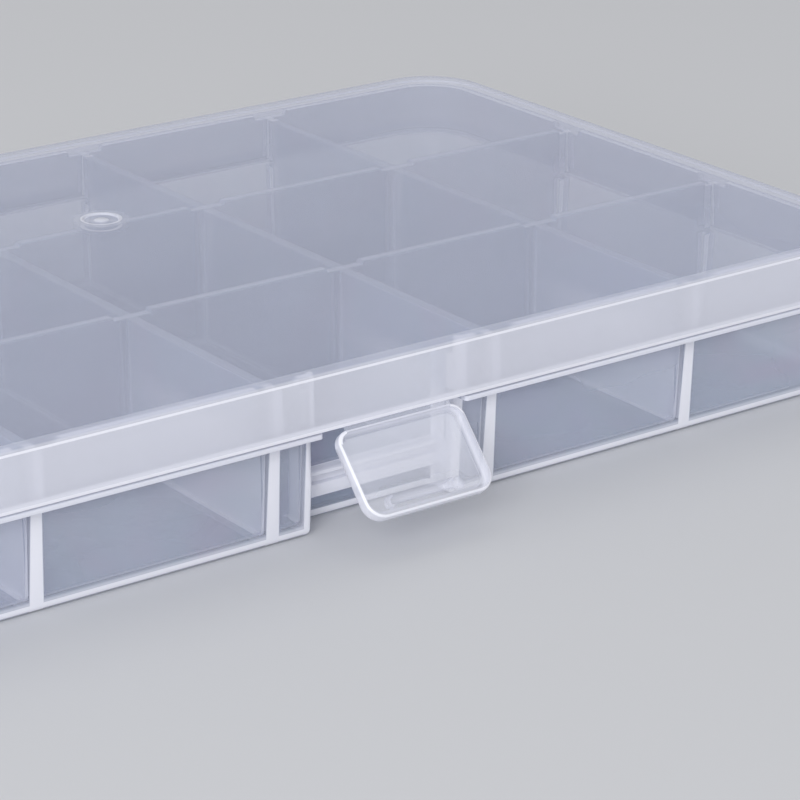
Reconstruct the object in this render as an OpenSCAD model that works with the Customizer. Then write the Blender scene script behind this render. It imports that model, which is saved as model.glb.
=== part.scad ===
// Bead organizer: a moulded tray with a grid of square compartments, one clear
// lid on a thin moulded hinge along the back, and one snap flap at the front.
// Millimetres, +Z up. The origin is the centre of the underside, X runs along
// the length, and the flap faces -Y. It is drawn closed, with the flap unhooked
// and standing away from its recess.

/* [Compartments] */
// Number of compartments along the length
columns = 5; // [3:2:7]
// Number of compartments from front to back
rows = 3; // [2:1:5]
// Distance between the middles of neighbouring dividers
pitch = 34; // [30:0.5:44]
// Thickness of a divider at its top
divider_t = 1.0; // [0.8:0.1:1.4]
// Thickness of a divider at the floor, so that it leaves its mould
divider_foot_t = 1.7; // [1:0.1:1.8]
// Height of the straight tops of the column dividers
divider_h = 21.2; // [19:0.1:27]
// How far the rim and the row dividers rise above that between the crossings
rise = 0.9; // [0.4:0.1:1.4]
// Half the width of the low notch at each crossing
notch_half = 2.9; // [2:0.1:5]
// How much wider a notch is at the rim, at each of its two sloping ends
notch_flare = 0.3; // [0.1:0.1:1]

/* [Tray] */
// Thickness of the floor
floor_t = 1.0; // [0.8:0.1:1.6]
// Thickness of the outer wall
wall_t = 1.1; // [0.9:0.1:1.5]
// How far the foot of the wall stands inside the outer grid line
foot_inset = 1.45; // [1:0.05:2]
// How far the wall stands inside that line just under the flange
waist_inset = 0.6; // [0.3:0.05:0.9]
// Corner radius on the outer grid line
corner_r = 8.3; // [6:0.1:12]
// Underside of the flange that the lid's edge comes down to
flange_z = 13.95; // [12:0.05:16]
// Thickness of the flange
flange_t = 0.65; // [0.4:0.05:1.2]

/* [Lid] */
// Thickness of the lid's panel
panel_t = 1.0; // [0.8:0.1:1.4]
// Thickness of the lid's skirt
skirt_t = 1.1; // [0.9:0.1:1.4]
// Gap between the skirt and the tray's wall, at the skirt's edge
skirt_gap = 0.25; // [0.2:0.05:0.5]
// Gap between the skirt's edge and the flange
edge_gap = 0.25; // [0.15:0.05:0.5]
// Radius along the lid's top edge
lid_edge_r = 0.9; // [0.5:0.1:1.2]
// Diameter of the round gate mark on the panel
gate_d = 7; // [4:0.5:9]
// Distance of the gate mark behind the middle of the lid
gate_y = 16.5; // [0:0.5:25]

/* [Latch] */
// Width of the recess in the front wall
recess_w = 22; // [21:0.1:26]
// How far the back of the recess stands behind the outer grid line
recess_depth = 5.7; // [5.4:0.1:6]
// Height of the wall round the recess, which stays below the rim
recess_top = 19.2; // [16:0.1:21]
// Width of the flap
flap_w = 19.6; // [16:0.1:20]
// Length of the flap below its hinge
flap_h = 12.6; // [12:0.1:13.2]
// Thickness of the flap's panel
flap_t = 1.2; // [1:0.1:1.4]
// Angle between the hanging flap and upright, as it stands here
flap_angle = 42.5; // [0:0.5:90]
// Width of the hook behind the flap
hook_w = 9.5; // [6:0.5:14]

/* [Hinge] */
// How far the moulded hinge stops short of each side of the tray
hinge_inset = 18; // [12:1:30]
// Thickness of the hinge film
film_t = 0.3; // [0.2:0.05:0.4]

/* [Hidden] */
$fn = 64;

half_x = columns * pitch / 2;              // outer grid lines
half_y = rows * pitch / 2;
rim_z = divider_h + rise;
ledge_z = flange_z + flange_t;             // top of the flange
wall_lean = 0.25;                          // the upper wall leans in by this
upper_out = 0.3;                           // upper wall's face, outside the grid line
skirt_z = ledge_z + edge_gap;              // the skirt's edge
lid_in = rim_z + 0.1;                      // underside of the panel
lid_z = lid_in + panel_t;
skirt_in = upper_out + skirt_gap;          // skirt's inner face at its edge
skirt_out = skirt_in + skirt_t + 0.1;      // and its outer face
skirt_top_out = skirt_out - 0.1;
far = 40;                                  // longer than any cut needs

clear_blue = [0.80, 0.85, 0.95, 0.45];     // clear plastic with a blue cast
clear_lid = [0.86, 0.89, 0.97, 0.40];
clear_flap = [0.92, 0.94, 0.99, 0.55];

// Half the thickness of a divider at height z, along its draft.
function divider_half(z) = (divider_foot_t
    + (divider_t - divider_foot_t) * (z - floor_t) / (divider_h - floor_t)) / 2;

// ---- profiles, drawn as [distance outside the grid line, height] ----

// Inner face of the tray's wall, from the floor up: a long draft, a sloping
// step above the flange and the upright top.
wall_inside = [
    [-foot_inset - wall_t + 0.06, floor_t],
    [-waist_inset - wall_t, flange_z - 0.5],
    [upper_out - wall_t, ledge_z],
    [upper_out - wall_lean - wall_t, rim_z]];

module wall_profile() {
    polygon(concat(
        [[-foot_inset - 0.5, 0], [-foot_inset - 0.12, 0.15], [-foot_inset + 0.03, 0.55],
         [-waist_inset, flange_z],
         [skirt_out - 0.1, flange_z], [skirt_out - 0.1, ledge_z],
         [upper_out, ledge_z], [upper_out - wall_lean, rim_z]],
        [for (i = [len(wall_inside) - 1:-1:0]) wall_inside[i]],
        [[-foot_inset - wall_t, 0]]));
}

module lid_profile() {
    top_x = skirt_top_out - lid_edge_r;
    polygon([[skirt_in, skirt_z], [skirt_out, skirt_z],
             [skirt_top_out, lid_z - lid_edge_r], [top_x, lid_z - lid_edge_r],
             [top_x, lid_in], [skirt_in - 0.1, lid_in]]);
    translate([top_x, lid_z - lid_edge_r]) intersection() {
        circle(lid_edge_r);
        square(lid_edge_r);
    }
    translate([-2, lid_in]) square([top_x + 2, panel_t]);
}

// ---- outlines and sweeps ----

// A rectangle with true round corners, grown from the grid line by `out`.
module outline(out) {
    r = corner_r + out;
    x = half_x - corner_r;
    y = half_y - corner_r;
    square([2 * (x + r), 2 * y], center = true);
    square([2 * x, 2 * (y + r)], center = true);
    for (sx = [-1, 1]) for (sy = [-1, 1]) translate([sx * x, sy * y]) circle(r);
}

// Sweeps a profile along one straight side that faces +Y before it is turned.
module straight(distance, length) {
    translate([-length / 2, distance, 0]) rotate([90, 0, 90]) linear_extrude(length) children();
}

// Sweeps a profile all round the outer grid line.
module around() {
    x = half_x - corner_r;
    y = half_y - corner_r;
    for (turn = [0, 180]) rotate([0, 0, turn]) {
        straight(half_y, 2 * x) children();
        rotate([0, 0, 90]) straight(half_x, 2 * y) children();
        translate([x, y, 0]) rotate_extrude(angle = 90) translate([corner_r, 0]) children();
        translate([-x, y, 0]) rotate([0, 0, 90]) rotate_extrude(angle = 90)
            translate([corner_r, 0]) children();
    }
}

// ---- tray ----

recess_back = -half_y + recess_depth;
recess_wall = 0.9;
recess_corner = 1.2;                       // radius at the back of the recess
lower_face = -half_y + (foot_inset + waist_inset) / 2;   // front wall at mid height

// Plan of the recess. Its mouth is rounded with radius `flare` at the face given.
module recess_plan(face, flare) {
    corner = recess_corner;
    translate([-recess_w / 2, recess_back - 15]) square([recess_w, 15 - corner]);
    translate([-recess_w / 2 + corner, recess_back - 15]) square([recess_w - 2 * corner, 15]);
    for (s = [-1, 1]) translate([s * (recess_w / 2 - corner), recess_back - corner]) circle(corner);
    for (s = [-1, 1]) difference() {
        translate([s * (recess_w / 2 + flare / 2) - flare / 2, face - 3])
            square([flare, 3 + flare]);
        translate([s * (recess_w / 2 + flare), face + flare]) circle(flare);
    }
}

// The wall that closes the recess off from the compartments, before it is cut.
module recess_block(front, z0, z1) {
    w = recess_w / 2 + recess_wall;
    r = recess_corner + recess_wall;
    back = recess_back + recess_wall;
    translate([0, 0, z0]) linear_extrude(z1 - z0) {
        translate([-w, front]) square([2 * w, back - r - front]);
        translate([-w + r, front]) square([2 * (w - r), back - front]);
        for (s = [-1, 1]) translate([s * (w - r), back - r]) circle(r);
    }
}

// Sweeps a profile along Y, the same distance to either side of X.
module along_y(length) {
    rotate([90, 0, 0]) translate([0, 0, -length / 2]) linear_extrude(length) children();
}

// Sweeps a profile along X.
module along_x(length) {
    rotate([90, 0, 90]) translate([0, 0, -length / 2]) linear_extrude(length) children();
}

module notch_section() {
    top = rise + 1;
    wide = notch_half + notch_flare / rise * top;
    translate([0, divider_h]) polygon([[-notch_half, 0], [notch_half, 0], [wide, top], [-wide, top]]);
}

// Low notches in the rim, where each divider meets the outer wall.
module rim_notches() {
    for (i = [1:columns - 1]) translate([i * pitch - half_x, 0, 0])
        along_y(2 * half_y + far) notch_section();
    for (j = [1:rows - 1]) translate([0, j * pitch - half_y, 0])
        along_x(2 * half_x + far) notch_section();
}

// Lip along the back that carries the hinge film.
lip_t = 0.55;
lip_y = half_y + skirt_out + 0.5;
hinge_half = half_x - hinge_inset;
module hinge_lip(z) {
    translate([-hinge_half, half_y + skirt_in + 0.2, z])
        cube([2 * hinge_half, lip_y - half_y - skirt_in - 0.2, lip_t]);
}

module tray_shell() {
    color(clear_blue) difference() {
        union() {
            around() wall_profile();
            linear_extrude(floor_t) outline(-foot_inset - wall_t / 2);
            recess_block(-half_y + foot_inset + 0.05, 0, ledge_z);
            recess_block(-half_y + waist_inset + 0.1, flange_z - 0.5, ledge_z);
            recess_block(-half_y + 0.2, flange_z, recess_top);
            hinge_lip(ledge_z - lip_t);
        }
        rim_notches();
        translate([0, 0, -1]) linear_extrude(ledge_z + 1 - flange_t) recess_plan(lower_face, 1.2);
        translate([0, 0, flange_z - 0.1]) linear_extrude(far) recess_plan(-half_y - 0.2, 0.7);
    }
}

// A divider across the tray from wall to wall, seen from its side. `reach` is
// the distance of the outer grid line from the middle of the tray, and `raised`
// the points, from right to left, of what stands above its straight top.
module divider_side(reach, raised = []) {
    right = [for (p = wall_inside) if (p[1] < divider_h) [reach + p[0], p[1]]];
    lean = (wall_inside[3][0] - wall_inside[2][0]) / (rim_z - ledge_z);
    top = [reach + wall_inside[2][0] + lean * (divider_h - ledge_z), divider_h];
    outline = concat(right, [top]);
    polygon(concat(outline, raised,
                   [for (i = [len(outline) - 1:-1:0]) [-outline[i][0], outline[i][1]]]));
}

// A divider's section, wider at the floor than at the top.
module divider_section(z0, z1) {
    polygon([[-divider_half(z0), z0], [divider_half(z0), z0],
             [divider_half(z1), z1], [-divider_half(z1), z1]]);
}

module column_divider(i) {
    color(clear_blue) translate([i * pitch - half_x, 0, 0]) intersection() {
        along_x(4) divider_side(half_y);
        along_y(2 * half_y) divider_section(floor_t, divider_h);
    }
}

// A row divider is one stretch for each compartment, between the column
// dividers. It rises to the rim's height between the crossings.
raised_stretches = [for (i = [columns - 1:-1:0]) let (
        x0 = i * pitch - half_x + notch_half, x1 = x0 + pitch - 2 * notch_half)
    each [[x1, divider_h], [x1 - notch_flare, rim_z], [x0 + notch_flare, rim_z], [x0, divider_h]]];
module row_divider(j) {
    color(clear_blue) difference() {
        translate([0, j * pitch - half_y, 0]) intersection() {
            along_y(4) divider_side(half_x, raised_stretches);
            along_x(2 * half_x) divider_section(floor_t, rim_z);
        }
        for (i = [1:columns - 1]) translate([i * pitch - half_x, j * pitch - half_y, 0])
            along_y(6) divider_section(0, rim_z + 1);
    }
}

// Two rails across the back of the recess. The hook springs into the groove
// between them and is held under the upper one.
rail_top = 7.1;
rail_under = 6.55;
groove_floor = 5.4;
bar_foot = 3.6;
rail_out = 1.8;
module catch_bar() {
    color(clear_flap) intersection() {
        translate([-recess_w / 2 - 1, 0, 0]) rotate([90, 0, 90]) linear_extrude(recess_w + 2)
            translate([recess_back, 0]) polygon([
                [0, rail_top], [-rail_out + 0.2, rail_top], [-rail_out, rail_top - 0.2],
                [-rail_out, rail_under], [-0.8, rail_under], [-0.8, groove_floor],
                [-rail_out + 0.45, groove_floor], [-rail_out + 0.15, groove_floor - 0.3],
                [-rail_out + 0.15, bar_foot + 0.2], [-rail_out + 0.35, bar_foot], [0, bar_foot]]);
        linear_extrude(far) recess_plan(lower_face, 1.2);
    }
}

// ---- lid ----

module lid_shell() {
    color(clear_lid) difference() {
        union() {
            around() lid_profile();
            translate([0, 0, lid_in]) linear_extrude(panel_t) outline(-1);
            hinge_lip(skirt_z);
        }
        translate([0, gate_y, lid_z - 0.3]) difference() {
            cylinder(d = gate_d, h = 1);
            cylinder(d = 1.8, h = 0.2);
        }
    }
}

// A thin strip folded in a U between the two lips.
module lid_hinge_film() {
    mid_z = (ledge_z + skirt_z) / 2;
    mid_r = (edge_gap + lip_t) / 2;
    color(clear_lid) translate([-hinge_half, lip_y, mid_z]) rotate([90, 0, 90])
        linear_extrude(2 * hinge_half) intersection() {
            difference() {
                circle(mid_r + film_t / 2);
                circle(mid_r - film_t / 2);
            }
            translate([0, -2]) square([2, 4]);
        }
}

// ---- latch ----

// The flap swings about a line just under the skirt's outer edge.
latch_y = -half_y - skirt_out + 0.15;
latch_z = skirt_z - 0.1;
flap_out = 0.1;                            // flap's face, outside the hinge line
flap_start = 0.35;                         // top of the flap, below the hinge line
rim_w = 1.1;                               // raised border of the flap
rim_t = 0.5;                               // and how far it stands inward

// Turns a flap drawn hanging straight down to the angle that it stands at.
module at_flap_angle() {
    translate([0, latch_y, latch_z]) rotate([-flap_angle, 0, 0]) children();
}

// Flap's outline, hanging from the hinge line, with small top and larger
// bottom corners; `inset` draws it smaller all round.
module flap_outline(inset) {
    w = flap_w / 2 - inset;
    top = -flap_start - inset;
    bottom = -flap_h + inset;
    r1 = 1.9 - inset;
    r2 = 2.5 - inset;
    translate([-w, bottom + r2]) square([2 * w, top - bottom - r1 - r2]);
    translate([-w + r2, bottom]) square([2 * (w - r2), top - bottom - r1]);
    translate([-w + r1, bottom + r2]) square([2 * (w - r1), top - bottom - r2]);
    for (s = [-1, 1]) {
        translate([s * (w - r1), top - r1]) circle(r1);
        translate([s * (w - r2), bottom + r2]) circle(r2);
    }
}

module latch_flap() {
    color(clear_flap) at_flap_angle() rotate([90, 0, 0]) translate([0, 0, -flap_t + flap_out]) {
        linear_extrude(flap_t) flap_outline(0);
        translate([0, 0, -rim_t]) linear_extrude(rim_t) difference() {
            flap_outline(0);
            flap_outline(rim_w);
            translate([-flap_w, -flap_start - 2.2]) square([2 * flap_w, 4]);
        }
    }
}

// Nose behind the flap that springs into the groove of the catch bar.
module latch_hook() {
    inner = flap_t - flap_out;
    tip_r = 0.8;
    color(clear_flap) at_flap_angle() difference() {
        translate([-hook_w / 2, 0, 0]) rotate([90, 0, 90]) linear_extrude(hook_w) polygon([
            [inner, -11.1], [inner, -9.55], [3.2, -9.45], [3.45, -9.5], [3.65, -9.7],
            [3.65, -9.95], [3.45, -10.15], [3.1, -10.25]]);
        // its tip is round at both ends, seen from above
        for (s = [-1, 1]) translate([s * hook_w / 2, 3.65, -13]) difference() {
            translate([-tip_r, -tip_r, 0]) cube([2 * tip_r, 2 * tip_r, 5]);
            translate([-s * tip_r, -tip_r, -1]) cylinder(r = tip_r, h = 7);
            translate([-s * tip_r - tip_r, -3 * tip_r, -1]) cube([2 * tip_r, 2 * tip_r, 7]);
        }
    }
}

// Thin strip from the skirt's edge to the top of the flap.
module latch_hinge_film() {
    a = flap_angle;
    skirt_face = -half_y - skirt_out;
    function on_flap(out, down) = [
        latch_y - down * sin(a) - out * cos(a), latch_z - down * cos(a) + out * sin(a)];
    w = flap_w / 2 - 1.9;
    color(clear_flap) translate([-w, 0, 0]) rotate([90, 0, 90]) linear_extrude(2 * w) polygon([
        [skirt_face + 0.03, skirt_z], [skirt_face + 0.03 + film_t, skirt_z],
        [skirt_face + 0.05 + film_t, latch_z],
        on_flap(flap_out - film_t, flap_start), on_flap(flap_out, flap_start),
        [skirt_face, latch_z]]);
}

tray_shell();
for (i = [1:columns - 1]) column_divider(i);
for (j = [1:rows - 1]) row_divider(j);
catch_bar();
lid_shell();
lid_hinge_film();
latch_flap();
latch_hook();
latch_hinge_film();
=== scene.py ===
# %% [markdown]
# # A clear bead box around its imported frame
# The box is thin polypropylene: a tray with fixed square compartments, one lid
# that swings on a film along the back, and a snap flap on the lid's front edge.
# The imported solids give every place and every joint. Each body is one moulding,
# so each gets one closed skin here, with the soft edges that a mould leaves.

# %% Load the frame
import math
import bmesh
import bpy
from mathutils import Matrix, Vector


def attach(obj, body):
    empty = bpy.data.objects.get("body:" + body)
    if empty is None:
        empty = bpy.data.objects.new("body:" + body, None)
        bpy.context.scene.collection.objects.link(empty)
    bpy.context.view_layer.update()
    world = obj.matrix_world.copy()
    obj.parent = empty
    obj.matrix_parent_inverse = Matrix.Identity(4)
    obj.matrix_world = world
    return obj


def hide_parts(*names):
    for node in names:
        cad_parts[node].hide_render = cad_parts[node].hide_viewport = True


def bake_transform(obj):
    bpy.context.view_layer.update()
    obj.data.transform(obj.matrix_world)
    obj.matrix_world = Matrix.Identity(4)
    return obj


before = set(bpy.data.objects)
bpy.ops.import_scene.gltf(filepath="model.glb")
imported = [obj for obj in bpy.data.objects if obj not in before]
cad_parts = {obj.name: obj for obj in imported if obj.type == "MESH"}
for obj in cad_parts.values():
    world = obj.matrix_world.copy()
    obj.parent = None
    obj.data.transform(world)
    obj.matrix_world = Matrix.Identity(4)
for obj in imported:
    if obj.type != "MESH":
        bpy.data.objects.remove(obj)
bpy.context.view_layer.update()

MM = 0.001

# %% [markdown]
# The camera stands to the left of the front, a little above the lid, with a
# long lens. It looks down by about 21 degrees, so all vertical edges stay
# nearly parallel in the picture.

# %% Camera
camera_data = bpy.data.cameras.new("camera")
camera_data.sensor_width = 36
camera_data.lens = 145.4
camera_data.clip_end = 20
camera = bpy.data.objects.new("camera", camera_data)
bpy.context.collection.objects.link(camera)
bpy.context.scene.camera = camera


def aim(obj, place, heading, pitch, roll=0.0):
    """Puts obj at place (mm), looking heading degrees right of +Y and pitch below level."""
    turn = (Matrix.Rotation(math.radians(-heading), 4, "Z")
            @ Matrix.Rotation(math.radians(90 - pitch), 4, "X")
            @ Matrix.Rotation(math.radians(roll), 4, "Z"))
    obj.matrix_world = Matrix.Translation(Vector(place) * MM) @ turn


aim(camera, (-225.4, -357.5, 160.6), 36.54, 20.79, 0.2)
print("camera at", [round(v, 4) for v in camera.location])

# %% [markdown]
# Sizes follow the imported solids, in millimetres. Only the row dividers' tops are
# a third of a millimetre lower, for the small step at each crossing. Distances
# called `out` are measured outwards from the outer grid line, which lies five by
# three compartments wide just inside the outer wall's upper face.

# %% Sizes of the tray and lid
HALF_X, HALF_Y, CORNER_R = 85.0, 51.0, 8.3
PITCH, COLUMNS, ROWS = 34.0, 5, 3
FLANGE_Z, LEDGE_Z, SKIRT_Z = 13.95, 14.6, 14.85
DIVIDER_Z, ROW_Z, RIM_Z, LID_Z = 21.2, 21.75, 22.1, 23.2
RECESS_HALF, RECESS_BACK, RECESS_TOP = 11.0, -45.3, 19.2

# %% Outline of the box at one height
def arc(cx, cy, r, a0, a1, steps):
    """Points along an arc from angle a0 to a1, in degrees."""
    angles = [math.radians(a0 + (a1 - a0) * i / steps) for i in range(steps + 1)]
    return [(cx + r * math.cos(a), cy + r * math.sin(a)) for a in angles]


def box_outline(out, recess=None, steps=14):
    """The box's plan, grown by `out`. `recess` is (half width, back, mouth radius, back radius)."""
    r = CORNER_R + out
    x, y = HALF_X - CORNER_R, HALF_Y - CORNER_R
    front = -HALF_Y - out
    points = arc(-x, -y, r, 180, 270, steps)
    if recess:
        half, back, mouth_r, back_r = recess
        points += arc(-half - mouth_r, front + mouth_r, mouth_r, -90, 0, 6)
        points += arc(-half + back_r, back - back_r, back_r, 180, 90, 6)
        points += arc(half - back_r, back - back_r, back_r, 90, 0, 6)
        points += arc(half + mouth_r, front + mouth_r, mouth_r, 180, 270, 6)
    points += arc(x, -y, r, 270, 360, steps)
    points += arc(x, y, r, 0, 90, steps)
    points += arc(-x, y, r, 90, 180, steps)
    return points


# %% Meshes from stacked outlines
def new_piece(name, bm):
    """Makes an object in millimetres from bm, then brings it to metres."""
    bmesh.ops.recalc_face_normals(bm, faces=bm.faces)
    mesh = bpy.data.meshes.new(name)
    bm.to_mesh(mesh)
    bm.free()
    mesh.transform(Matrix.Scale(MM, 4))
    piece = bpy.data.objects.new(name, mesh)
    bpy.context.collection.objects.link(piece)
    return piece


def loft(name, rings, closed=False):
    """A closed skin through rings of (x, y, z) points. Its ends are capped, or joined if closed."""
    bm = bmesh.new()
    rows = [[bm.verts.new(p) for p in ring] for ring in rings]
    pairs = list(zip(rows, rows[1:])) + ([(rows[-1], rows[0])] if closed else [])
    for low, high in pairs:
        n = len(low)
        for i in range(n):
            j = (i + 1) % n
            bm.faces.new((low[i], low[j], high[j], high[i]))
    if not closed:
        caps = [bm.faces.new(reversed(rows[0])), bm.faces.new(rows[-1])]
        bmesh.ops.triangulate(bm, faces=caps)
    return new_piece(name, bm)


def level(points, z):
    """The plan's points, all at height z."""
    return [(x, y, z) for x, y in points]


def prism(name, points, z0, z1):
    """An upright block over a plan, from z0 to z1."""
    return loft(name, [level(points, z0), level(points, z1)])


# %% [markdown]
# Mouldings meet in smooth joins, so pieces are united into one skin before they
# get a finish. The Manifold solver is exact enough for thin walls and needs
# closed meshes, which is what `loft` makes.

# %% Uniting and cutting
def combine(target, others, operation="UNION"):
    """Applies each other piece to target with a boolean, then deletes it."""
    for other in others:
        change = target.modifiers.new("combine", "BOOLEAN")
        change.object = other
        change.operation = operation
        change.solver = "MANIFOLD"
        bake(target)
        bpy.data.objects.remove(other)
    return target


def bake(piece):
    """Turns a piece with modifiers into a plain mesh."""
    graph = bpy.context.evaluated_depsgraph_get()
    graph.update()
    mesh = bpy.data.meshes.new_from_object(piece.evaluated_get(graph))
    piece.modifiers.clear()
    old = piece.data
    piece.data = mesh
    mesh.name = piece.name
    bpy.data.meshes.remove(old)


def soften(piece, angle=38):
    """Smooth shading that keeps edges sharper than `angle`."""
    piece.data.shade_smooth()
    piece.data.set_sharp_from_angle(angle=math.radians(angle))
    print(piece.name, len(piece.data.vertices), "vertices", len(piece.data.polygons), "faces")


# %% Tray wall and floor in one skin
def tray_rings():
    """Rings up the outside and down the inside, as (out, z, recess widening, mouth radius)."""
    outer = [(-2.05, 0.0, 0.6, 0.5), (-1.70, 0.12, 0.25, 0.5), (-1.50, 0.38, 0.05, 0.5),
             (-1.42, 0.75, 0.0, 0.5), (-1.05, 7.0, 0.0, 0.5), (-0.87, 10.0, 0.0, 0.9),
             (-0.60, FLANGE_Z, 0.0, 1.4), (0.30, LEDGE_Z, 0.0, 1.2), (0.06, RIM_Z - 0.25, 0.0, 1.2),
             (-0.02, RIM_Z - 0.07, 0.08, 1.2), (-0.20, RIM_Z, 0.25, 1.2)]
    inner = [(-0.80, RIM_Z, -0.25), (-0.98, RIM_Z - 0.07, -0.08), (-1.05, RIM_Z - 0.25, 0.0),
             (-0.80, LEDGE_Z, 0.0), (-1.70, 13.45, 0.0), (-2.46, 1.9, 0.0), (-2.56, 1.5, 0.1),
             (-2.80, 1.15, 0.35), (-3.30, 1.0, 0.85)]
    rings = [level(box_outline(out, (RECESS_HALF + wide, RECESS_BACK + wide, mouth, 1.2 + wide)), z)
             for out, z, wide, mouth in outer]
    rings += [level(box_outline(out, (RECESS_HALF + 0.9 + wide, RECESS_BACK + 0.9 + wide,
                                      0.35, 2.1 + wide)), z) for out, z, wide in inner]
    return rings


tray = loft("tray_moulding", tray_rings())

# %% [markdown]
# Geometry Nodes and materials are both trees of nodes. Three short helpers
# write them almost like formulas: one feeds a socket with a number or with
# another node's output, one adds a node, and one adds a sum.

# %% Helpers for node trees
def feed(tree, socket, value):
    """Sets a socket, or links another node's output to it."""
    if isinstance(value, bpy.types.NodeSocket):
        tree.links.new(value, socket)
    else:
        socket.default_value = value


def add(tree, kind, inputs=None, **settings):
    """Adds a node. `inputs` maps a socket's name or number to what feeds it."""
    node = tree.nodes.new(kind)
    for key, value in settings.items():
        setattr(node, key, value)
    for key, value in (inputs or {}).items():
        feed(tree, node.inputs[key], value)
    return node


def calc(tree, operation, *values):
    """The result of one Math node."""
    return add(tree, "ShaderNodeMath", dict(enumerate(values)), operation=operation).outputs[0]


# %% [markdown]
# The dividers repeat at one spacing, so Geometry Nodes lay them out. A section
# that is thinner at the top, with round top edges, is swept along a line and
# copied at each grid line. The ends and the foot sink into the wall and floor,
# so that the union later leaves no seam.

# %% A node tree that lays out ribs
def rib_tree(name):
    """Ribs that run along Y, set out along X. Every size is a named input, in millimetres."""
    tree = bpy.data.node_groups.new(name, "GeometryNodeTree")
    sockets = {}
    for label, kind in (("Count", "Int"), ("Spacing", "Float"), ("Length", "Float"),
                        ("Foot Z", "Float"), ("Top Z", "Float"), ("Foot Width", "Float"),
                        ("Top Width", "Float"), ("Rounding", "Float"), ("Finish", "Material")):
        sockets[label] = tree.interface.new_socket(
            label, in_out="INPUT", socket_type="NodeSocket" + kind).identifier
    tree.interface.new_socket("Ribs", in_out="OUTPUT", socket_type="NodeSocketGeometry")
    given = add(tree, "NodeGroupInput").outputs
    section = add(tree, "GeometryNodeCurvePrimitiveQuadrilateral", mode="TRAPEZOID", inputs={
        "Height": calc(tree, "SUBTRACT", given["Top Z"], given["Foot Z"]),
        "Bottom Width": given["Foot Width"], "Top Width": given["Top Width"], "Offset": 0})
    rounded = add(tree, "GeometryNodeFilletCurve", mode="POLY", inputs={
        "Curve": section.outputs[0], "Radius": given["Rounding"], "Count": 3})
    half = calc(tree, "MULTIPLY", given["Length"], 0.5)
    ends = [add(tree, "ShaderNodeCombineXYZ", {"Y": calc(tree, "MULTIPLY", half, side)})
            for side in (-1.0, 1.0)]
    line = add(tree, "GeometryNodeCurvePrimitiveLine",
               {"Start": ends[0].outputs[0], "End": ends[1].outputs[0]})
    sweep = add(tree, "GeometryNodeCurveToMesh", {
        "Curve": line.outputs[0], "Profile Curve": rounded.outputs[0], "Fill Caps": True})
    gaps = calc(tree, "SUBTRACT", given["Count"], 1.0)
    first = add(tree, "ShaderNodeCombineXYZ", {
        "X": calc(tree, "MULTIPLY", calc(tree, "MULTIPLY", given["Spacing"], -0.5), gaps),
        "Z": calc(tree, "MULTIPLY", calc(tree, "ADD", given["Top Z"], given["Foot Z"]), 0.5)})
    step = add(tree, "ShaderNodeCombineXYZ", {"X": given["Spacing"]})
    places = add(tree, "GeometryNodeMeshLine", {
        "Count": given["Count"], "Start Location": first.outputs[0], "Offset": step.outputs[0]})
    copies = add(tree, "GeometryNodeInstanceOnPoints",
                 {"Points": places.outputs[0], "Instance": sweep.outputs[0]})
    realize = add(tree, "GeometryNodeRealizeInstances", {0: copies.outputs[0]})
    finish = add(tree, "GeometryNodeSetMaterial",
                 {"Geometry": realize.outputs[0], "Material": given["Finish"]})
    add(tree, "NodeGroupOutput", {0: finish.outputs[0]})
    return tree, sockets


# %% Run the tree as a piece
rib_nodes, rib_sockets = rib_tree("ribs")


def ribs(name, turn=0.0, place=(0, 0, 0), **sizes):
    """A plain mesh of ribs from the tree. Names of sizes use _ for a space."""
    mesh = bpy.data.meshes.new(name)
    piece = bpy.data.objects.new(name, mesh)
    bpy.context.collection.objects.link(piece)
    change = piece.modifiers.new("ribs", "NODES")
    change.node_group = rib_nodes
    for label, value in sizes.items():
        change[rib_sockets[label.replace("_", " ")]] = value
    bake(piece)
    piece.data.transform(Matrix.Scale(MM, 4) @ Matrix.Translation(Vector(place))
                         @ Matrix.Rotation(math.radians(turn), 4, "Z"))
    return piece


def divider_width(z):
    """Thickness of a divider at height z: 1.7 mm at the floor, 1.0 mm at the top."""
    return 1.7 - 0.7 * (z - 1.0) / (DIVIDER_Z - 1.0)


FOOT_Z = 0.5
columns = ribs("column_dividers", Count=COLUMNS - 1, Spacing=PITCH, Length=2 * HALF_Y - 3.2,
               Foot_Z=FOOT_Z, Top_Z=DIVIDER_Z, Foot_Width=divider_width(FOOT_Z),
               Top_Width=divider_width(DIVIDER_Z), Rounding=0.25)
rows = ribs("row_dividers", turn=90, Count=ROWS - 1, Spacing=PITCH, Length=2 * HALF_X - 3.2,
            Foot_Z=FOOT_Z, Top_Z=ROW_Z, Foot_Width=divider_width(FOOT_Z),
            Top_Width=divider_width(ROW_Z), Rounding=0.25)
print("dividers:", len(columns.data.polygons), "faces across,", len(rows.data.polygons), "along")

# %% [markdown]
# The flange that the lid's edge comes down to runs round the tray but stops at
# the recess with rounded ends. A full ring is cut there. The lip on the back
# carries the hinge film.

# %% Flange, lips and catch bar
def ring(name, section):
    """A closed band round the box. `section` is a loop of (out, z) points."""
    return loft(name, [level(box_outline(out), z) for out, z in section], closed=True)


def bar(name, section, x0, x1):
    """A bar along X with a (y, z) section."""
    return loft(name, [[(x, y, z) for y, z in section] for x in (x0, x1)])


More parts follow.
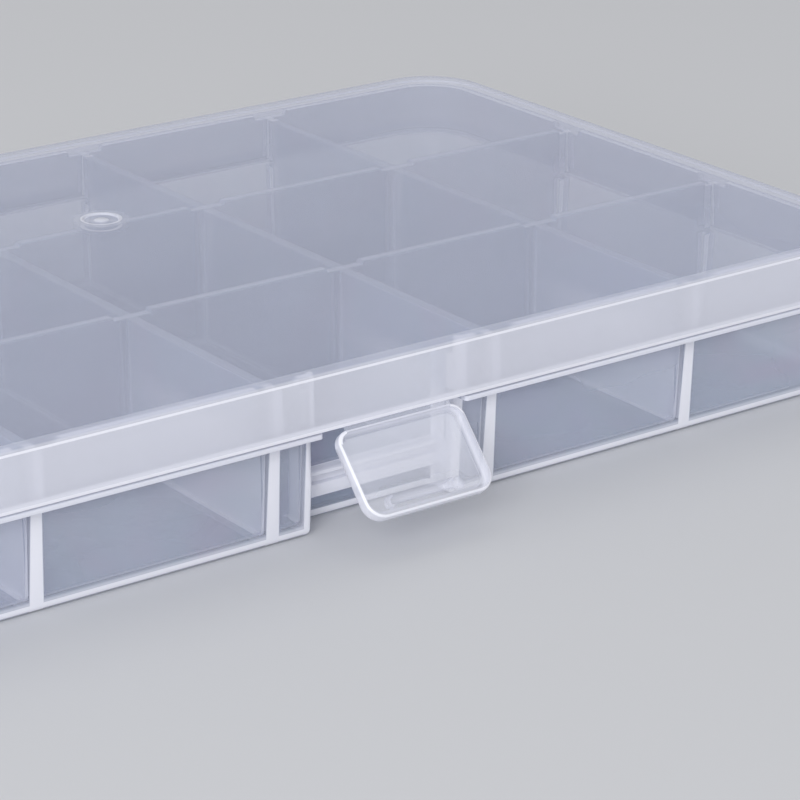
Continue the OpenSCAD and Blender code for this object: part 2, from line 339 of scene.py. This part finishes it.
FLANGE_IN, FLANGE_OUT = -0.35, 1.65
flange = ring("flange", [
    (FLANGE_IN, FLANGE_Z), (FLANGE_OUT - 0.12, FLANGE_Z), (FLANGE_OUT - 0.03, FLANGE_Z + 0.04),
    (FLANGE_OUT, FLANGE_Z + 0.12), (FLANGE_OUT, LEDGE_Z - 0.12),
    (FLANGE_OUT - 0.03, LEDGE_Z - 0.04), (FLANGE_OUT - 0.12, LEDGE_Z), (FLANGE_IN, LEDGE_Z)])
TIP_X, TIP_Y, TIP_R = 11.75, -52.0, 0.65
gap_plan = (arc(TIP_X, TIP_Y, TIP_R, 180, 270, 6) + [(TIP_X, TIP_Y - 2), (-TIP_X, TIP_Y - 2)]
            + arc(-TIP_X, TIP_Y, TIP_R, 270, 360, 6)
            + [(-TIP_X + TIP_R, TIP_Y + 1.8), (TIP_X - TIP_R, TIP_Y + 1.8)])
combine(flange, [prism("flange_gap", gap_plan, FLANGE_Z - 0.95, LEDGE_Z + 0.9)], "DIFFERENCE")

HINGE_HALF, LIP_Y = 67.0, 53.25
LIP_ROOT_Y, LIP_T = 51.9, 0.55


def lip(name, z):
    """The strip along the back that a hinge film grows from, with its underside at z."""
    r = 0.5
    plan = ([(-HINGE_HALF, LIP_ROOT_Y), (HINGE_HALF, LIP_ROOT_Y)]
            + arc(HINGE_HALF - r, LIP_Y - r, r, 0, 90, 4)
            + arc(-HINGE_HALF + r, LIP_Y - r, r, 90, 180, 4))
    return prism(name, plan, z, z + LIP_T)


catch = bar("catch_bar_skin", [
    (RECESS_BACK + 0.4, 7.1), (RECESS_BACK - 1.62, 7.1), (RECESS_BACK - 1.76, 7.02),
    (RECESS_BACK - 1.8, 6.9), (RECESS_BACK - 1.8, 6.62), (RECESS_BACK - 1.7, 6.55),
    (RECESS_BACK - 0.85, 6.55), (RECESS_BACK - 0.8, 6.45), (RECESS_BACK - 0.8, 5.5),
    (RECESS_BACK - 0.85, 5.4), (RECESS_BACK - 1.35, 5.4), (RECESS_BACK - 1.58, 5.3),
    (RECESS_BACK - 1.65, 5.1), (RECESS_BACK - 1.65, 3.8), (RECESS_BACK - 1.6, 3.66),
    (RECESS_BACK - 1.45, 3.6), (RECESS_BACK + 0.4, 3.6)], -RECESS_HALF - 0.3, RECESS_HALF + 0.3)

# %% Notches at the crossings, and one skin for the tray
NOTCH_HALF, NOTCH_HALF_END, NOTCH_END_Z = 2.9, 3.5, 23.0
NOTCH = [(-NOTCH_HALF, DIVIDER_Z), (NOTCH_HALF, DIVIDER_Z),
         (NOTCH_HALF_END, NOTCH_END_Z), (-NOTCH_HALF_END, NOTCH_END_Z)]
cuts = []
for i in range(COLUMNS - 1):
    x = (i - (COLUMNS - 2) / 2) * PITCH
    cuts.append(loft("notch", [[(x + a, y, z) for a, z in NOTCH]
                               for y in (-HALF_Y - 3, HALF_Y + 3)]))
for j in range(ROWS - 1):
    y = (j - (ROWS - 2) / 2) * PITCH
    for side in (-1, 1):
        cuts.append(loft("notch", [[(x, y + a, z) for a, z in NOTCH]
                                   for x in (side * (HALF_X - NOTCH_HALF), side * (HALF_X + 3))]))
combine(tray, [columns, rows, flange, lip("tray_lip", LEDGE_Z - LIP_T), catch])
step_x, step_front, step_back = RECESS_HALF + 1.2, -HALF_Y + 1.2, RECESS_BACK + 2.3
step_plan = [(-step_x, step_front), (step_x, step_front), (step_x, step_back), (-step_x, step_back)]
cuts.append(prism("recess_step", step_plan, RECESS_TOP, NOTCH_END_Z))
combine(tray, cuts, "DIFFERENCE")
soften(tray)

# %% [markdown]
# The lid is a shallow cap: a flat panel, an edge with a radius of about a
# millimetre, and a skirt whose edge is rounded. The point where the plastic was
# fed into the mould shows as a small ring on the panel.

# %% Lid in one skin
def lid_rings():
    """Rings from the underside, down inside the skirt, and up over the rounded edge."""
    r = 0.9
    inner = [(-1.5, LID_Z - 1.0), (-0.1, LID_Z - 1.0), (0.3, LID_Z - 1.12), (0.45, LID_Z - 1.5),
             (0.55, SKIRT_Z + 0.2), (0.62, SKIRT_Z + 0.05), (0.75, SKIRT_Z)]
    outer = [(1.55, SKIRT_Z), (1.70, SKIRT_Z + 0.05), (1.75, SKIRT_Z + 0.2)]
    outer += [(1.65 - r + r * math.cos(a), LID_Z - r + r * math.sin(a))
              for a in (math.radians(15 * i) for i in range(7))]
    outer += [(-1.5, LID_Z)]
    return [level(box_outline(out), z) for out, z in inner + outer]


def turned(name, section, place, steps=48):
    """A lathe piece from (radius, z) points; the first and last have radius 0."""
    bm = bmesh.new()
    rows = []
    for r, z in section:
        if r == 0:
            rows.append([bm.verts.new((place[0], place[1], place[2] + z))])
        else:
            rows.append([bm.verts.new((place[0] + r * math.cos(2 * math.pi * i / steps),
                                       place[1] + r * math.sin(2 * math.pi * i / steps),
                                       place[2] + z)) for i in range(steps)])
    for low, high in zip(rows, rows[1:]):
        for i in range(steps):
            j = (i + 1) % steps
            corners = [row[k % len(row)] for row, k in ((low, i), (low, j), (high, j), (high, i))]
            unique = list(dict.fromkeys(corners))
            if len(unique) > 2:
                bm.faces.new(unique)
    return new_piece(name, bm)


lid = loft("lid_moulding", lid_rings())
combine(lid, [lip("lid_lip", SKIRT_Z)])
GATE = (-1.2, 15.7)
gate = turned("gate_mark", [(0, -0.1), (0.9, -0.12), (1.15, -0.3), (2.0, -0.3),
                            (2.5, -0.22), (2.8, 0.2), (0, 0.2)], place=(*GATE, LID_Z))
combine(lid, [gate], "DIFFERENCE")
soften(lid)

# %% [markdown]
# The flap is a thin plate with a raised border along its free edges and a
# hook behind it. It is drawn hanging straight down and then turned about its
# hinge to the angle in which it stands.

# %% Flap with its hook in one skin
FLAP_HINGE = (-52.6, 14.75)
FLAP_HALF, FLAP_TOP, FLAP_END, FLAP_ANGLE = 9.8, 0.35, 12.6, 42.5
PLATE_T, BORDER_T, BORDER_W = 1.2, 0.5, 1.1
TOP_R, END_R = 1.9, 2.5


def flap_outline(inset):
    """The flap's outline as (x, distance below the hinge)."""
    half, top, end = FLAP_HALF - inset, FLAP_TOP + inset, FLAP_END - inset
    r_top, r_end = TOP_R - inset, END_R - inset
    return (arc(half - r_top, top + r_top, r_top, -90, 0, 8)
            + arc(half - r_end, end - r_end, r_end, 0, 90, 8)
            + arc(-half + r_end, end - r_end, r_end, 90, 180, 8)
            + arc(-half + r_top, top + r_top, r_top, 180, 270, 8))


def flap_rings():
    """Rings from the outer face inwards, each (inset, depth behind the hinge line).
    The border on the back rises smoothly from nothing near the hinge."""
    front = -0.1
    back = front + PLATE_T
    steps = [(BORDER_W + 0.2, front), (BORDER_W - 0.1, front), (0.6, front), (0.42, front),
             (0.22, front + 0.04), (0.07, front + 0.15), (0.0, front + 0.35),
             (0.0, back + BORDER_T - 0.25), (0.08, back + BORDER_T - 0.07), (0.25, back + BORDER_T),
             (BORDER_W - 0.35, back + BORDER_T), (BORDER_W - 0.15, back + BORDER_T - 0.1),
             (BORDER_W, back + 0.15), (BORDER_W + 0.2, back)]
    rings = []
    for inset, depth in steps:
        points = []
        for x, down in flap_outline(inset):
            d = depth
            if d > back:
                rise = min(max((down - 1.3) / 2.0, 0.0), 1.0)
                d = back + (d - back) * rise * rise * (3 - 2 * rise)
            points.append((x, d, -down))
        rings.append(points)
    return rings


def hook_rings(half=4.75):
    """Sections of the hook along X, smaller at its two ends."""
    section = [(0.9, -11.1), (0.9, -9.55), (3.2, -9.45), (3.45, -9.5), (3.65, -9.7),
               (3.65, -9.95), (3.45, -10.15), (3.1, -10.25)]
    rings = []
    for x, shrink in ((-half, 0.8), (-half + 0.1, 0.45), (-half + 0.35, 0.15), (-half + 0.8, 0.0),
                      (half - 0.8, 0.0), (half - 0.35, 0.15), (half - 0.1, 0.45), (half, 0.8)):
        rings.append([(x, min(y, 3.65 - shrink), z) for y, z in section])
    return rings


def tilt_flap(piece):
    """Turns a flap piece from hanging straight to where it stands."""
    hinge = Matrix.Translation(Vector((0, *FLAP_HINGE)) * MM)
    piece.data.transform(hinge @ Matrix.Rotation(math.radians(-FLAP_ANGLE), 4, "X"))


def boss_rings(x):
    """A small oval stud beside the hook, as rings of falling size."""
    half_x, half_z, z = 0.75, 0.9, -10.4
    turns = [math.radians(30 * i) for i in range(12)]
    return [[(x + r * half_x * math.cos(a), depth, z + r * half_z * math.sin(a)) for a in turns]
            for depth, r in ((0.9, 1.0), (1.9, 0.95), (2.2, 0.75), (2.3, 0.4))]


BOSS_X = 5.3
flap = loft("flap_moulding", flap_rings())
studs = [loft("hook_boss", boss_rings(side * BOSS_X)) for side in (-1, 1)]
combine(flap, [loft("hook", hook_rings())] + studs)


def store_painted_glow(piece):
    """Stores how much painted highlight each point of the hanging flap gets, from its distance to
    the outline.
    """
    layer = piece.data.attributes.new("edge", "FLOAT", "POINT")
    middle, half_x = (FLAP_TOP + FLAP_END) / 2, FLAP_HALF - END_R
    half_z = (FLAP_END - FLAP_TOP) / 2 - END_R
    for i, vertex in enumerate(piece.data.vertices):
        x, depth, z = (c / MM for c in vertex.co)
        qx, qz = abs(x) - half_x, abs(-z - middle) - half_z
        inset = END_R - math.hypot(max(qx, 0), max(qz, 0)) - min(max(qx, qz), 0)
        if depth > PLATE_T + BORDER_T + 0.1:
            painted_glow = 0.6
        elif depth > PLATE_T - 0.1 and inset < 0.3:
            painted_glow = 0.8
        elif inset < 0.3:
            painted_glow = 1.0 if depth < 0.1 else 0.55
        else:
            painted_glow = 0.5 if 0.8 < inset < 1.2 and depth > 0.5 else 0.0
        layer.data[i].value = painted_glow


store_painted_glow(flap)
tilt_flap(flap)
soften(flap)

# %% [markdown]
# Both hinges are films of the same plastic, about 0.3 mm thick. Each is drawn
# once as a fixed thin strip between the two bodies that it joins.

# %% The two films
FILM_T = 0.3


def strip(name, centre_line, half_width):
    """A thin strip along X; centre_line is (y, z) points from one body to the other."""
    sides = ([], [])
    for i, (y, z) in enumerate(centre_line):
        y0, z0 = centre_line[max(i - 1, 0)]
        y1, z1 = centre_line[min(i + 1, len(centre_line) - 1)]
        run = Vector((y1 - y0, z1 - z0)).normalized() * FILM_T / 2
        sides[0].append((y - run.y, z + run.x))
        sides[1].append((y + run.y, z - run.x))
    section = sides[0] + sides[1][::-1]
    return bar(name, section, -half_width, half_width)


bend = (SKIRT_Z + LEDGE_Z) / 2
hinge_line = [(LIP_Y - 0.2, bend - 0.4), (LIP_Y - 0.05, bend - 0.4)]
hinge_line += [(LIP_Y + 0.4 * math.cos(a), bend + 0.4 * math.sin(a))
               for a in (math.radians(-90 + 15 * i) for i in range(13))]
hinge_line += [(LIP_Y - 0.05, bend + 0.4), (LIP_Y - 0.2, bend + 0.4)]
back_film = strip("back_hinge_film", hinge_line, HINGE_HALF - 0.3)
soften(back_film)


def below_hinge(distance):
    """The (y, z) point this far from the hinge, down along the tilted flap."""
    lean = math.radians(FLAP_ANGLE)
    return FLAP_HINGE[0] - distance * math.sin(lean), FLAP_HINGE[1] - distance * math.cos(lean)


top_of_flap = below_hinge(0.6)
start_y, start_z = FLAP_HINGE[0] + 0.02, SKIRT_Z + 0.12
film_line = [(start_y, start_z), (start_y, start_z - 0.1), (FLAP_HINGE[0], FLAP_HINGE[1] + 0.05),
             (FLAP_HINGE[0] - 0.05, FLAP_HINGE[1] - 0.1), below_hinge(0.3), top_of_flap]
flap_film = strip("flap_hinge_film", film_line, FLAP_HALF - 1.7)
soften(flap_film)

# %% [markdown]
# The plastic is clear but milky, and cool in tone. Seen through its faces it is a
# blue-grey haze. Where light that travels inside the plastic gets out, at rims,
# corners and thick joins, it looks white; that light is painted into the colour as
# a painted glow. One recipe makes every plastic finish: a glow value between 0 and 1
# says where the painted highlight lies, and the recipe turns that into a white colour
# and into a nearly solid opacity, for the plastic that is seen thick there.

# %% The recipe for milky plastic
# The first tint is the plastic's own; the second is the white of the painted glow on rims and
# joins.
HAZE_TINT, PAINTED_GLOW_TINT = (0.58, 0.62, 0.78), (0.89, 0.90, 0.98)


def fade(tree, value, start, end):
    """A smooth mask: 0 at start and 1 at end, whichever of the two is larger."""
    node = add(tree, "ShaderNodeMapRange", {
        "Value": value, "From Min": min(start, end), "From Max": max(start, end),
        "To Min": float(end < start), "To Max": float(end > start)},
        interpolation_type="SMOOTHSTEP")
    return node.outputs[0]


def both(tree, *masks):
    """White only where all the masks are."""
    total = masks[0]
    for mask in masks[1:]:
        total = calc(tree, "MULTIPLY", total, mask)
    return total


def any_of(tree, *masks):
    """White where any of the masks is."""
    total = masks[0]
    for mask in masks[1:]:
        total = calc(tree, "MAXIMUM", total, mask)
    return total


def places(tree):
    """Positions and normals on the piece, in millimetres, as a dictionary of outputs."""
    def vector(operation, inputs):
        return add(tree, "ShaderNodeVectorMath", inputs, operation=operation).outputs

    where = add(tree, "ShaderNodeTexCoord")
    point = vector("SCALE", {0: where.outputs["Object"], "Scale": 1 / MM})[0]
    here = add(tree, "ShaderNodeSeparateXYZ", {0: point}).outputs
    facing = add(tree, "ShaderNodeSeparateXYZ", {0: where.outputs["Normal"]}).outputs
    near = vector("ABSOLUTE", {0: point})[0]
    centre = (HALF_X - CORNER_R, HALF_Y - CORNER_R, 1000)     # of a corner; z is to be ignored
    beyond = vector("SUBTRACT", {0: near, 1: centre})[0]
    kept = vector("MAXIMUM", {0: beyond, 1: (0, 0, 0)})[0]
    length = vector("LENGTH", {0: kept})["Value"]
    return {"point": point, "x": here[0], "y": here[1], "z": here[2],
            "abs_x": calc(tree, "ABSOLUTE", here[0]), "abs_y": calc(tree, "ABSOLUTE", here[1]),
            "up": facing[2], "flat": calc(tree, "ABSOLUTE", facing[2]),
            "across": calc(tree, "ABSOLUTE", facing[0]),
            "out": calc(tree, "SUBTRACT", length, CORNER_R)}


def milky(name, painted_glow_rule, haze, painted_light_veil=None, tint=HAZE_TINT, stress=0.0):
    """A finish. The glow rule gives the painted glow, painted highlight at rims and
    joins. The veil rule gives more haze and a painted lightness, painted light where a
    face catches much light but stays see-through."""
    finish = bpy.data.materials.new(name)
    finish.use_nodes = True
    tree = finish.node_tree
    shader = tree.nodes["Principled BSDF"]
    here = places(tree)
    painted_glow = painted_glow_rule(tree, here)

    def remap(value, low, high, start=0.0, end=1.0):
        """Stretches value from start..end to low..high."""
        return add(tree, "ShaderNodeMapRange", {"Value": value, "From Min": start, "From Max": end,
                                                "To Min": low, "To Max": high}).outputs[0]

    # Opacity: the haze, in soft clouds, denser at grazing angles, and nearly solid under the
    # painted glow, where the plastic is seen thick.
    cloud = add(tree, "ShaderNodeTexNoise", {
        "Vector": here["point"], "Scale": 0.035, "Detail": 2.0, "Roughness": 0.5}).outputs[0]
    grazing = add(tree, "ShaderNodeLayerWeight", {"Blend": 0.3}).outputs["Facing"]
    body = remap(cloud, haze * 0.85, haze * 1.15, 0.3, 0.7)
    # How far the colour is painted white: painted highlight, plus the veil's painted light.
    white = painted_glow
    if painted_light_veil:
        more, lit = painted_light_veil(tree, here)
        body, white = calc(tree, "ADD", body, more), calc(tree, "MAXIMUM", painted_glow, lit)
    body = remap(grazing, body, 0.6, 0.2, 1.0)
    feed(tree, shader.inputs["Alpha"], remap(painted_glow, body, 0.9))

    # Colour: the haze's tint, with faint bands where the mould left stress, up to the white of the
    # painted glow and the veil's painted light.
    hue = add(tree, "ShaderNodeTexNoise", {
        "Vector": here["point"], "Scale": 0.05, "Detail": 1.0, "Distortion": 1.6}).outputs[0]
    bands = add(tree, "ShaderNodeValToRGB", {0: hue})
    ramp = bands.color_ramp
    ramp.elements[0].position, ramp.elements[0].color = 0.30, (1.0, 0.90, 0.94, 1)
    ramp.elements[1].position, ramp.elements[1].color = 0.70, (0.92, 0.95, 1.0, 1)
    middle = ramp.elements.new(0.5)
    middle.color = (0.90, 1.0, 0.97, 1)
    tinted = add(tree, "ShaderNodeMix", {"Factor": stress, "A": (*tint, 1), "B": bands.outputs[0]},
                 data_type="RGBA", blend_type="MULTIPLY")
    colour = add(tree, "ShaderNodeMix", {"Factor": white, "A": tinted.outputs["Result"],
                                         "B": (*PAINTED_GLOW_TINT, 1)}, data_type="RGBA")
    feed(tree, shader.inputs["Base Color"], colour.outputs["Result"])

    # Surface: a gloss that varies a little with the grain of the mould.
    grain = add(tree, "ShaderNodeTexNoise", {
        "Vector": here["point"], "Scale": 0.25, "Detail": 3.0}).outputs[0]
    feed(tree, shader.inputs["Roughness"], remap(grain, 0.14, 0.30))
    bump = add(tree, "ShaderNodeBump", {"Height": grain, "Strength": 0.12, "Distance": 0.0002})
    feed(tree, shader.inputs["Normal"], bump.outputs[0])
    shader.inputs["IOR"].default_value = 1.49
    print(name, len(tree.nodes), "nodes")
    return finish


# %% [markdown]
# On the tray the painted glow is painted highlight on the tops of the walls and
# dividers, the foot, the flange, and the upright line wherever two walls meet, where
# the plastic is also seen thick. That upright line is as wide as the divider, so it
# narrows upwards. The catch bar's rails, the cheeks beside them and the feet towards
# the front are painted brighter, as painted light in the shaded recess and from the lamp.

# %% Where the tray gets painted glow
def distance_to_line(tree, value):
    """How far value is from the nearest grid line."""
    return calc(tree, "PINGPONG", calc(tree, "SUBTRACT", value, PITCH / 2), PITCH / 2)


def scaled(tree, amount, *masks):
    """A product of masks times a plain number."""
    return calc(tree, "MULTIPLY", both(tree, *masks), amount)


INNER_X, INNER_Y, BLUR = HALF_X - 2.6, HALF_Y - 2.6, 0.2      # inner faces of the outer wall


def tray_painted_glow(tree, here):
    """Painted highlights on the edges, feet and joins of the tray; each line below is one kind of
    place.
    """
    x, y, z, out = here["abs_x"], here["y"], here["z"], here["out"]
    thinning = (divider_width(1) - divider_width(0)) / 2
    half_width = calc(tree, "MULTIPLY_ADD", z, thinning, divider_width(0) / 2)
    column = calc(tree, "SUBTRACT", distance_to_line(tree, here["x"]), half_width)
    row = calc(tree, "SUBTRACT", distance_to_line(tree, y), half_width)
    sides = fade(tree, x, INNER_X - BLUR, INNER_X + BLUR)
    front_back = fade(tree, here["abs_y"], INNER_Y - BLUR, INNER_Y + BLUR)
    inside = both(tree, fade(tree, x, INNER_X + BLUR, INNER_X - BLUR),
                  fade(tree, here["abs_y"], INNER_Y + BLUR, INNER_Y - BLUR))
    upright = fade(tree, here["flat"], 0.75, 0.5)
    facing_up = fade(tree, here["up"], 0.25, 0.6)

    # Upright lines on the outer wall, which the flange interrupts, painted bright as painted
    # highlight.
    under_flange = fade(tree, z, FLANGE_Z - 0.1, FLANGE_Z - 0.4)
    over_flange = scaled(tree, 0.9, fade(tree, z, LEDGE_Z, LEDGE_Z + 0.3))
    height = calc(tree, "MAXIMUM", under_flange, over_flange)
    on_column = both(tree, fade(tree, column, 0.25, 0.05), front_back)
    on_row = both(tree, fade(tree, row, 0.25, 0.05), sides)
    posts = both(tree, height, any_of(tree, on_column, on_row))
    mouth = both(tree, fade(tree, x, 10.7, 10.9), fade(tree, x, 12.35, 12.15),
                 fade(tree, y, -48.2, -48.6), height)
    joins = scaled(tree, 0.50, fade(tree, column, 1.0, -0.2), fade(tree, row, 1.0, -0.2), inside)

    # Painted highlights on the tops of the walls and dividers.
    rim = both(tree, facing_up, fade(tree, z, RIM_Z - 0.2, RIM_Z - 0.1))
    near_top = fade(tree, z, DIVIDER_Z - 0.3, DIVIDER_Z - 0.15)
    row_tops = scaled(tree, 0.5, fade(tree, row, 0.1, 0.0), near_top,
                      fade(tree, here["up"], 0.2, 0.5))
    column_tops = scaled(tree, 0.18, near_top, facing_up)

    # Painted highlights on the foot of the wall, the feet of the dividers and the flange.
    foot = both(tree, fade(tree, z, 1.2, 1.0), upright, fade(tree, out, -3.6, -3.3))
    low = fade(tree, z, 1.9, 1.2)
    # Painted light: the feet get more of it towards the front, where the lamp stands.
    front = calc(tree, "ADD", 0.45, scaled(tree, 0.55, fade(tree, y, -10.0, -36.0)))
    at_divider = any_of(tree, fade(tree, column, 0.6, 0.15), fade(tree, row, 0.6, 0.15))
    feet = both(tree, low, front, inside, at_divider)
    base_line = scaled(tree, 0.6, low, fade(tree, out, -3.3, -3.0))
    flange_line = scaled(tree, 0.85, fade(tree, z, FLANGE_Z - 0.2, FLANGE_Z),
                         fade(tree, z, LEDGE_Z + 0.4, LEDGE_Z + 0.02), fade(tree, out, 0.4, 0.6))

    # The recess: the catch bar's rails, the cheeks beside them, and the foot, painted bright as
    # painted light inside the shaded recess.
    in_recess = both(tree, fade(tree, x, RECESS_HALF + 0.95, RECESS_HALF + 0.85),
                     fade(tree, y, RECESS_BACK + 1.0, RECESS_BACK + 0.8))
    rails = scaled(tree, 0.95, in_recess, fade(tree, z, 3.45, 3.6), fade(tree, z, 7.3, 7.15))
    cheek = scaled(tree, 0.85, in_recess, fade(tree, x, RECESS_HALF - 0.3, RECESS_HALF - 0.05),
                   fade(tree, z, 7.3, 7.1))
    recess_foot = both(tree, in_recess, fade(tree, z, 1.3, 1.1), upright)
    return any_of(tree, posts, mouth, joins, rim, row_tops, column_tops, foot, feet, base_line,
                  flange_line, rails, cheek, recess_foot)


# %% Where the lid gets painted highlights
def lid_painted_glow(tree, here):
    """Painted highlights at the skirt's edge, along the rounded edge, and round the gate mark."""
    out, z = here["out"], here["z"]
    skirt = both(tree, fade(tree, out, 1.2, 1.5), fade(tree, here["up"], 0.5, 0.2))
    skirt_low = scaled(tree, 0.8, skirt, fade(tree, z, SKIRT_Z + 1.6, SKIRT_Z + 0.3))
    skirt_edge = fade(tree, z, SKIRT_Z + 0.6, SKIRT_Z + 0.45)
    round_edge = scaled(tree, 0.3, fade(tree, out, 0.6, 0.8))
    edge_line = both(tree, skirt, fade(tree, z, LID_Z - 1.25, LID_Z - 1.15),
                     fade(tree, z, LID_Z - 0.8, LID_Z - 0.9))

    squares = [calc(tree, "POWER", calc(tree, "SUBTRACT", here[axis], centre), 2.0)
               for axis, centre in zip("xy", GATE)]
    from_gate = calc(tree, "SQRT", calc(tree, "ADD", *squares))
    ring_line = both(tree, fade(tree, from_gate, 2.2, 2.5), fade(tree, from_gate, 3.1, 2.85))
    nub = fade(tree, from_gate, 1.3, 0.9)
    halo = scaled(tree, 0.15, fade(tree, from_gate, 4.6, 3.4))
    return any_of(tree, skirt_low, skirt_edge, round_edge, edge_line,
                  scaled(tree, 0.65, any_of(tree, ring_line, nub)), halo)


# %% [markdown]
# Some faces are bright and yet show what is behind them: the skirt, the wall
# behind it, the front wall and the column dividers near the front, which face the lamp.
# A veil gives them more haze and paints them lighter, as painted light where the lamp
# falls on them.

# %% Painted light on the lid and the tray
def skirt_painted_light(tree, here):
    """The skirt is painted white, as painted light from the front lamp, but still shows the posts
    of the tray behind it.
    """
    skirt = both(tree, fade(tree, here["out"], 0.2, 0.5), fade(tree, here["flat"], 0.6, 0.3))
    return scaled(tree, 0.12, skirt), scaled(tree, 0.85, skirt)


def tray_painted_light(tree, here):
    """Column dividers are painted brighter near the front, as painted light from the lamp, and so
    are the wall behind the skirt and the front wall.
    """
    out, y, z = here["out"], here["y"], here["z"]
    across = both(tree, fade(tree, here["across"], 0.6, 0.8), fade(tree, out, -2.7, -3.0))
    near_front, low = fade(tree, y, -10.0, -40.0), fade(tree, z, 16.0, 12.0)
    on_dividers = calc(tree, "ADD", calc(tree, "MULTIPLY_ADD", near_front, 0.25, 0.12),
                       scaled(tree, 0.3, near_front, low))
    behind_skirt = both(tree, fade(tree, z, LEDGE_Z, LEDGE_Z + 0.3), fade(tree, out, -0.9, -0.6))
    more = calc(tree, "MULTIPLY_ADD", behind_skirt, 0.15, both(tree, across, on_dividers))
    front_wall = scaled(tree, 0.25, fade(tree, y, -46.0, -49.0), fade(tree, out, -2.3, -1.9))
    lit = any_of(tree, scaled(tree, 0.95, across, near_front, low),
                 scaled(tree, 0.85, behind_skirt), front_wall)
    return more, lit


# %% [markdown]
# The flap's painted glow, painted highlight along its border, follows the border, so it
# is stored on the mesh as a number at each point before the flap is turned.

# %% Where the flap gets painted highlights
def flap_painted_glow(tree, here):
    """The painted highlight that was stored at each point."""
    return add(tree, "ShaderNodeAttribute", attribute_name="edge").outputs["Fac"]


finishes = {"tray": milky("tray_plastic", tray_painted_glow, haze=0.31, painted_light_veil=tray_painted_light, stress=0.6),
            "lid": milky("lid_plastic", lid_painted_glow, haze=0.20, painted_light_veil=skirt_painted_light),
            "flap": milky("flap_plastic", flap_painted_glow, haze=0.24, tint=(0.80, 0.82, 0.92))}
for piece, finish in ((tray, "tray"), (lid, "lid"), (back_film, "lid"),
                      (flap, "flap"), (flap_film, "flap")):
    piece.data.materials.clear()
    piece.data.materials.append(finishes[finish])

# %% [markdown]
# The skins of the tray, the lid and the flap now stand for the solids of their bodies and move with
# them; the two films stay where they are drawn.

# %% Tie the pieces to the frame
TRAY_NODES = ["tray_shell", "row_divider_1", "row_divider_2", "catch_bar"]
TRAY_NODES += [f"column_divider_{i}" for i in range(1, COLUMNS)]
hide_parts(*TRAY_NODES)
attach(tray, "tray")
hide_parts("lid_shell")
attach(lid, "lid")
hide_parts("latch_flap", "latch_hook")
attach(flap, "latch")
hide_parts("lid_hinge_film")
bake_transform(back_film)
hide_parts("latch_hinge_film")
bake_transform(flap_film)

# %% [markdown]
# The box stands on a plain pale floor. A large soft lamp overhead and one from
# the left front model its forms, and an even world fills the rest, so that
# together a white card would render as white.

# %% Floor
bpy.ops.mesh.primitive_plane_add(size=8, location=(0, 0, -0.0002))
floor = bpy.context.object
floor.name = "floor"
floor_finish = bpy.data.materials.new("floor")
floor_finish.use_nodes = True
floor_shader = floor_finish.node_tree.nodes["Principled BSDF"]
floor_shader.inputs["Base Color"].default_value = (0.60, 0.61, 0.64, 1)
floor_shader.inputs["Roughness"].default_value = 0.7
floor.data.materials.append(floor_finish)

# %% World and lamps
world = bpy.data.worlds.new("studio")
bpy.context.scene.world = world
world.use_nodes = True
sky = world.node_tree.nodes["Background"]
sky.inputs["Color"].default_value = (1, 1, 1, 1)
sky.inputs["Strength"].default_value = 0.6


def softbox(name, place, size, share):
    """A square lamp aimed at the box that gives it `share` of the light of a white world."""
    place = Vector(place)
    data = bpy.data.lights.new(name, "AREA")
    data.size = size
    data.energy = share * (math.pi * place.length) ** 2
    lamp = bpy.data.objects.new(name, data)
    bpy.context.collection.objects.link(lamp)
    lamp.location = place
    lamp.rotation_euler = (-place).to_track_quat("-Z", "Y").to_euler()


softbox("overhead", (0.3, 0.9, 2.4), 1.6, 0.08)
softbox("left_front", (-0.95, -0.82, 0.60), 0.7, 0.62)
bpy.context.scene.view_settings.view_transform = "Standard"
